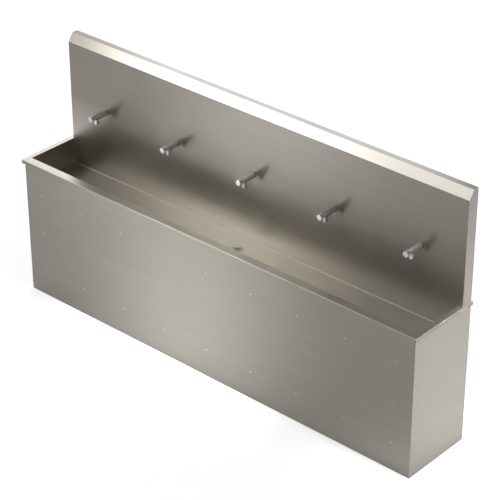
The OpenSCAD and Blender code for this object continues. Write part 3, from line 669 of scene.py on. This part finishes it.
def weld(bm, start, end, out):
    """A rippled bead from start to end that stands outwards."""
    run = end - start
    side = run.cross(out).normalized()
    steps = round(run.length / WELD_STEP)
    rings = []
    for k in range(steps + 1):
        ripple = 1.0 + RIPPLE * math.sin(2 * math.pi * k / RIPPLE_STEPS)
        taper = max(WELD_END, min(1.0, k / RIPPLE_STEPS, (steps - k) / RIPPLE_STEPS))
        middle = start + run * (k / steps) - out * ROOT
        width = WELD_W * (WELD_STEADY + (1.0 - WELD_STEADY) * taper)
        rings.append(bead_ring(middle, side, out, width, WELD_H * ripple * taper))
    skin(bm, rings, False)


def spoke(bm, start, end, width, depth):
    """A thin level bar with its top at start and end."""
    side = (end - start).cross(UP).normalized() * (width / 2)
    drop = Vector((0, 0, -depth))
    rings = [[spot + side, spot - side, spot - side + drop, spot + side + drop] for spot in (start, end)]
    skin(bm, rings, False)


def piece(name, bm, material, body="sink"):
    """Makes the object, smooth but for its sharp edges, that rides on a body."""
    bmesh.ops.recalc_face_normals(bm, faces=bm.faces)
    sharp = math.radians(SMOOTH_ANGLE)
    for edge in bm.edges:
        edge.smooth = len(edge.link_faces) == 2 and edge.calc_face_angle() < sharp
    for face in bm.faces:
        face.smooth = True
    mesh = bpy.data.meshes.new(name)
    bm.to_mesh(mesh)
    bm.free()
    mesh.materials.append(material)
    made = bpy.data.objects.new(name, mesh)
    bpy.context.scene.collection.objects.link(made)
    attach(made, body)


def middle_of(name, axis):
    low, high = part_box(name)
    return (low[axis] + high[axis]) / 2


# Sizes and places of the fittings, in metres


PIPE_R = 11.0 * MM
BEND_R = 20.0 * MM
FOOT_PAD_H = 8.0 * MM
FOOT_NUT_H = 10.0 * MM
TRAP_NECK_L = 14.0 * MM
TRAP_NUT_HALF = 11.0 * MM
CUP_GRIP_RISE = 6.0 * MM
CUP_GRIP_SHARE = 0.7
BLADE_HALF_W = 9.0 * MM
BLADE_HALF_T = 1.25 * MM
tap_places = [middle_of(f"tap_barrel_{i}", 0) for i in STATIONS]
tap_height = middle_of("tap_wall_seals", 2)
pipe_y = middle_of("riser_pipe", 1)
riser_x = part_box("riser_pipe")[1][0] - PIPE_R
manifold_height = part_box("manifold")[0][2] + PIPE_R
waste_x = middle_of("waste_gasket", 0)
waste_y = middle_of("waste_gasket", 1)


def shank_threads():
    bm = bmesh.new()
    nut_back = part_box("tap_back_nuts")[1][1]
    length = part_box("tap_tails")[0][1] - nut_back
    for x in tap_places:
        thread(bm, "y", (x, nut_back, tap_height), length, SHANK_THREAD)
    piece("shank_threads", bm, satin_chrome)


def foot_threads():
    bm = bmesh.new()
    for row in ("front_leg", "rear_leg"):
        for i in LEGS:
            leg = f"{row}_{i}"
            nut_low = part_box(leg)[0][2] - FOOT_NUT_H
            start = (middle_of(leg, 0), middle_of(leg, 1), FOOT_PAD_H)
            thread(bm, "z", start, nut_low - FOOT_PAD_H, FOOT_THREAD)
    piece("foot_threads", bm, zinc)


def waste_thread():
    bm = bmesh.new()
    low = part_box("trap_nuts")[1][2]
    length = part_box("waste_locknut")[0][2] - low
    thread(bm, "z", (waste_x, waste_y, low), length, WASTE_THREAD)
    piece("waste_thread", bm, flange_steel)


def trap_grips():
    """Ribs on the trap's two nuts and its cup."""
    bm = bmesh.new()
    inlet_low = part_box("trap_body")[1][2] - TRAP_NECK_L
    inlet_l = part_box("trap_nuts")[1][2] - inlet_low
    grips(bm, "z", (waste_x, waste_y, inlet_low), inlet_l, NUT_GRIP)
    outlet = (waste_x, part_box("trap_body")[1][1] - TRAP_NUT_HALF, middle_of("waste_pipe", 2))
    grips(bm, "y", outlet, 2 * TRAP_NUT_HALF, NUT_GRIP)
    cup_low, cup_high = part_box("trap_cup")
    cup_start = (waste_x, waste_y, cup_low[2] + CUP_GRIP_RISE)
    grips(bm, "z", cup_start, (cup_high[2] - cup_low[2]) * CUP_GRIP_SHARE, CUP_GRIP)
    piece("trap_grips", bm, white_plastic)


# Outlines of turned pieces: radius and rise in millimetres
SOCKET = ((10.9, 0), (12.6, 0), (12.9, 0.6), (12.9, 11.0), (12.4, 12.2), (11.5, 13.0), (10.9, 13.4))
SOLDER = ((7.4, 0), (9.3, 0), (8.9, 0.9), (8.0, 1.8), (7.4, 2.4))
GLAND = ((10.9, 0), (15.0, 0), (15.0, 3.0), (14.0, 5.0), (12.0, 6.5), (10.9, 6.5))
LEVER_NUT_L = 3.8
LEVER_NUT = ((2.4, 0), (5.2, 0), (5.8, 0.6), (5.8, 3.2), (5.2, LEVER_NUT_L), (2.4, LEVER_NUT_L))
LEVER_NUT_SIDES = 6
STUD_L = 4.8
STUD = ((0.01, 0), (2.2, 0), (2.6, 0.5), (2.6, STUD_L), (0.01, STUD_L))
STUD_SIDES = 24


def solder_sockets():
    """The wider sockets where pipes are soldered into bends and branches, with their solder."""
    bm = bmesh.new()
    supply_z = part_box("supply_pipe")[0][2] + PIPE_R
    turned(bm, "z", (riser_x, pipe_y, manifold_height - BEND_R), upturned(SOCKET))
    turned(bm, "z", (riser_x, pipe_y, supply_z + BEND_R), SOCKET)
    turned(bm, "y", (riser_x, pipe_y + BEND_R, supply_z), SOCKET)
    turned(bm, "x", (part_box("manifold")[1][0], pipe_y, manifold_height), upturned(SOCKET))
    for x in tap_places:
        turned(bm, "z", (x, pipe_y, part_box("manifold")[1][2]), SOLDER)
    piece("solder_sockets", bm, copper)


def valve_glands():
    """Tapered glands where the pipes enter the valve."""
    bm = bmesh.new()
    turned(bm, "z", (riser_x, pipe_y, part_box("riser_pipe")[0][2]), GLAND)
    turned(bm, "z", (riser_x, pipe_y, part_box("supply_pipe")[1][2]), upturned(GLAND))
    piece("valve_glands", bm, brass)


def lever_nut():
    """The nut that holds the lever on its pin."""
    bm = bmesh.new()
    lever_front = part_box("valve_lever")[0][1]
    pin_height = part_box("valve_lever")[1][2] - BLADE_HALF_W
    nut_start = (riser_x, lever_front - LEVER_NUT_L * MM, pin_height)
    turned(bm, "y", nut_start, LEVER_NUT, LEVER_NUT_SIDES)
    stud_start = (riser_x, lever_front - STUD_L * MM, pin_height)
    turned(bm, "y", stud_start, STUD, STUD_SIDES)
    piece("lever_nut", bm, zinc, "valve_lever")


SLEEVE_L = 42.0 * MM
SLEEVE_OVER = 0.8 * MM
SLEEVE_HALF_W = 9.0 * MM
SLEEVE_HALF_T = 2.7 * MM
SLEEVE_STEPS = 14
SLEEVE_POINTS = 28
# Its swell along its length: the least, at its ends, and the power that it is raised to
SLEEVE_LEAST_SWELL = 0.25
SLEEVE_POWER = 0.3
# The power that makes its section squarer than an oval
SQUARING_POWER = 0.6


def squared(part):
    """A sine or cosine, moved towards the corners of a square."""
    return math.copysign(abs(part) ** SQUARING_POWER, part)


def lever_grip():
    """A soft sleeve over the lower part of the lever's blade."""
    bm = bmesh.new()
    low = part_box("valve_lever")[0]
    middle_y = low[1] + BLADE_HALF_T
    rings = []
    for k in range(SLEEVE_STEPS + 1):
        share = k / SLEEVE_STEPS
        swell = max(SLEEVE_LEAST_SWELL, math.sin(math.pi * share)) ** SLEEVE_POWER
        half_w = SLEEVE_HALF_W * swell
        half_t = SLEEVE_HALF_T * swell
        z = low[2] - SLEEVE_OVER + SLEEVE_L * share
        ring = []
        for j in range(SLEEVE_POINTS):
            angle = 2 * math.pi * j / SLEEVE_POINTS
            x = riser_x + half_w * squared(math.cos(angle))
            y = middle_y + half_t * squared(math.sin(angle))
            ring.append(Vector((x, y, z)))
        rings.append(ring)
    skin(bm, rings, False)
    piece("lever_grip", bm, lever_dip, "valve_lever")


# Rings in a nozzle's mouth: their inner and outer radius, and their height, in millimetres
AERATOR_RINGS = ((9.6, 10.9), (2.6, 3.4), (6.1, 6.9))
AERATOR_H = 1.6
AERATOR_RISE = 1.0 * MM
# The spokes that carry them
SPOKES = 8
SPOKE_L = 9.8 * MM
SPOKE_W = 0.8 * MM
SPOKE_H = 1.2 * MM
SPOKE_TOP = 1.4 * MM


def aerator(bm, x, y, z):
    """A ring with spokes and two inner rings, just inside a nozzle's mouth."""
    for inner, outer in AERATOR_RINGS:
        turned(bm, "z", (x, y, z), ((inner, 0), (outer, 0), (outer, AERATOR_H), (inner, AERATOR_H)))
    for k in range(SPOKES):
        angle = 2 * math.pi * k / SPOKES
        top = Vector((x, y, z + SPOKE_TOP))
        spoke(bm, top, top + round_point(SPOKE_L, angle, 0.0), SPOKE_W, SPOKE_H)


def aerators():
    bm = bmesh.new()
    for i in STATIONS:
        nozzle = f"tap_nozzle_{i}"
        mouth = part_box(nozzle)[0][2] + AERATOR_RISE
        aerator(bm, middle_of(nozzle, 0), middle_of(nozzle, 1), mouth)
    piece("aerators", bm, nozzle_steel)


def upright_weld(bm, x, y, node, out):
    """A bead up the seam between a leg and the tube of a node that meets it."""
    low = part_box(node)[0][2]
    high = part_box(node)[1][2]
    weld(bm, Vector((x, y, low)), Vector((x, y, high)), Vector(out).normalized())


def frame_welds():
    """Beads on both sides of each leg, where rails and bearers meet it."""
    bm = bmesh.new()
    for i in LEGS:
        front_low, front_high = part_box(f"front_leg_{i}")
        rear_low, rear_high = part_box(f"rear_leg_{i}")
        bearer = f"bowl_bearer_{i}"
        for side, x_front, x_rear in ((-1, front_low[0], rear_low[0]), (1, front_high[0], rear_high[0])):
            upright_weld(bm, x_front, front_high[1], "front_bottom_rail", (0, 1, 0))
            upright_weld(bm, x_front, front_high[1], bearer, (side, 1, 0))
            upright_weld(bm, x_rear, rear_low[1], bearer, (side, 0, 0))
            outermost = i == (LEGS[0] if side < 0 else LEGS[-1])
            if not outermost:
                upright_weld(bm, x_rear, rear_high[1], "rear_top_rail", (0, 1, 0))
    piece("frame_welds", bm, tube_steel)


shank_threads()
foot_threads()
waste_thread()
trap_grips()
solder_sockets()
valve_glands()
lever_nut()
lever_grip()
aerators()
frame_welds()


# Floor: white, with the object's shadow, and clear from below


FLOOR_HALF = 60.0
FLOOR_CORNERS = ((-1, -1), (1, -1), (1, 1), (-1, 1))
FLOOR_CLOUDS = (3.0, 3.0, 0.5)
FLOOR_TONES = (0.79, 0.81)
FLOOR_GLOW = 0.5


def floor_material():
    """Pale and matt, with a glow that only the camera and reflections see."""
    tree = Tree("white_floor")
    diffuse = tree.add("BsdfDiffuse")
    clouds = tree.noise(tree.place(), FLOOR_CLOUDS)
    dark, light = (rgba(grey(level)) for level in FLOOR_TONES)
    tree.feed(diffuse.inputs["Color"], tree.mix_colour(clouds, dark, light))
    rays = tree.add("LightPath").outputs
    mirrored = tree.math("MAXIMUM", rays["Is Glossy Ray"], rays["Is Transmission Ray"])
    seen = tree.math("MAXIMUM", rays["Is Camera Ray"], mirrored)
    glow = tree.add("Emission")
    tree.feed(glow.inputs["Strength"], tree.product(seen, FLOOR_GLOW))
    both = tree.add("AddShader")
    tree.links.new(diffuse.outputs[0], both.inputs[0])
    tree.links.new(glow.outputs[0], both.inputs[1])
    sides = tree.add("MixShader")
    tree.feed(sides.inputs[0], tree.add("NewGeometry").outputs["Backfacing"])
    tree.links.new(both.outputs[0], sides.inputs[1])
    tree.links.new(tree.add("BsdfTransparent").outputs[0], sides.inputs[2])
    tree.links.new(sides.outputs[0], tree.output.inputs["Surface"])
    return tree.material


def make_floor():
    mesh = bpy.data.meshes.new("floor")
    corners = [(x * FLOOR_HALF, y * FLOOR_HALF, 0) for x, y in FLOOR_CORNERS]
    mesh.from_pydata(corners, [], [(0, 1, 2, 3)])
    mesh.materials.append(floor_material())
    floor = bpy.data.objects.new("floor", mesh)
    bpy.context.scene.collection.objects.link(floor)


make_floor()


# Light


AIM = (0.0, 0.0, 1.2)
LEFT_AIM = (-1.5, 0.0, 0.9)
PLAIN_LIGHT = (1.0, 1.0, 1.0)
COOL_LIGHT = (0.95, 1.0, 1.05)
# Degrees: an open lamp's spread, a pool's spread, the front lamps' roll and the front pools' heading
OPEN_SPREAD = 180.0
POOL_SPREAD = 17.0
BOX_ROLL = 27.0
POOL_HEADING = 46.6
# Lamps: name, place, target, size, watts, roll in degrees and colour
LAMPS = (
    ("front_box", (-4.3, -6.4, 6.7), AIM, (5.6, 1.5), 42.0, BOX_ROLL, COOL_LIGHT),
    ("front_core", (-5.2, -5.45, 5.15), AIM, (1.4, 1.3), 60.0, BOX_ROLL, PLAIN_LIGHT),
    ("back_box", (-4.6, 5.95, 5.6), AIM, (3.6, 2.0), 118.0, 0.0, COOL_LIGHT),
    ("high_key", (-5.6, -2.5, 8.5), AIM, (1.2, 2.5), 80.0, 0.0, PLAIN_LIGHT),
    ("right_fill", (5.5, 0.5, 7.0), AIM, (3.0, 3.0), 170.0, 0.0, PLAIN_LIGHT),
    ("strip_fill", (-7.5, 5.2, 5.1), LEFT_AIM, (3.0, 3.0), 50.0, 0.0, PLAIN_LIGHT),
)
# Pools of light on the floor: name, place, size, watts, and heading in degrees from the sink's length
POOLS = (
    ("front_pool", (-0.6, -0.76), (0.7, 2.0), 9.9, POOL_HEADING),
    ("far_pool", (-2.25, -2.45), (0.8, 1.6), 26.0, POOL_HEADING),
    ("end_pool", (2.4, 1.25), (0.6, 3.6), 15.0, 55.0),
)
POOL_HEIGHT = 5.0
STUDIO_LEVEL = 0.35


def soft_lamp(name, place, target, size, power, roll, colour, spread=OPEN_SPREAD):
    """A rectangular lamp that faces its target; a narrow spread makes a pool of light."""
    data = bpy.data.lights.new(name, "AREA")
    data.spread = math.radians(spread)
    data.shape = "RECTANGLE"
    data.size, data.size_y = size
    data.energy = power
    data.color = colour
    lamp = bpy.data.objects.new(name, data)
    bpy.context.scene.collection.objects.link(lamp)
    facing = (Vector(target) - Vector(place)).to_track_quat("-Z", "Y")
    lamp.location = place
    lamp.rotation_euler = (facing @ Quaternion((0.0, 0.0, 1.0), math.radians(roll))).to_euler()
    return lamp


def pool(name, place, size, power, heading):
    """A lamp straight over its place on the floor, longer along its heading."""
    high = (*place, POOL_HEIGHT)
    lamp = soft_lamp(name, high, (*place, 0.0), size, power, 0.0, PLAIN_LIGHT, POOL_SPREAD)
    lamp.rotation_euler = (0.0, 0.0, math.radians(heading - RIGHT_ANGLE))


def light_world():
    world = bpy.data.worlds.new("studio")
    bpy.context.scene.world = world
    world.use_nodes = True
    sky = world.node_tree.nodes["Background"].inputs
    sky["Strength"].default_value = STUDIO_LEVEL
    sky["Color"].default_value = rgba(PLAIN_LIGHT)


for lamp_values in LAMPS:
    soft_lamp(*lamp_values)
for pool_values in POOLS:
    pool(*pool_values)
light_world()


# Camera


def make_camera():
    data = bpy.data.cameras.new("camera")
    data.lens = CAMERA_LENS
    data.sensor_width = SENSOR_WIDTH
    data.shift_x, data.shift_y = CAMERA_SHIFT
    data.clip_end = CAMERA_REACH
    camera = bpy.data.objects.new("camera", data)
    bpy.context.scene.collection.objects.link(camera)
    turn = (
        Matrix.Rotation(math.radians(CAMERA_AZIMUTH), 4, "Z")
        @ Matrix.Rotation(math.radians(RIGHT_ANGLE - CAMERA_ELEVATION), 4, "X")
        @ Matrix.Rotation(math.radians(CAMERA_ROLL), 4, "Z")
    )
    camera.matrix_world = Matrix.Translation(CAMERA_PLACE) @ turn
    bpy.context.scene.camera = camera


make_camera()
bpy.context.scene.view_settings.view_transform = "Standard"
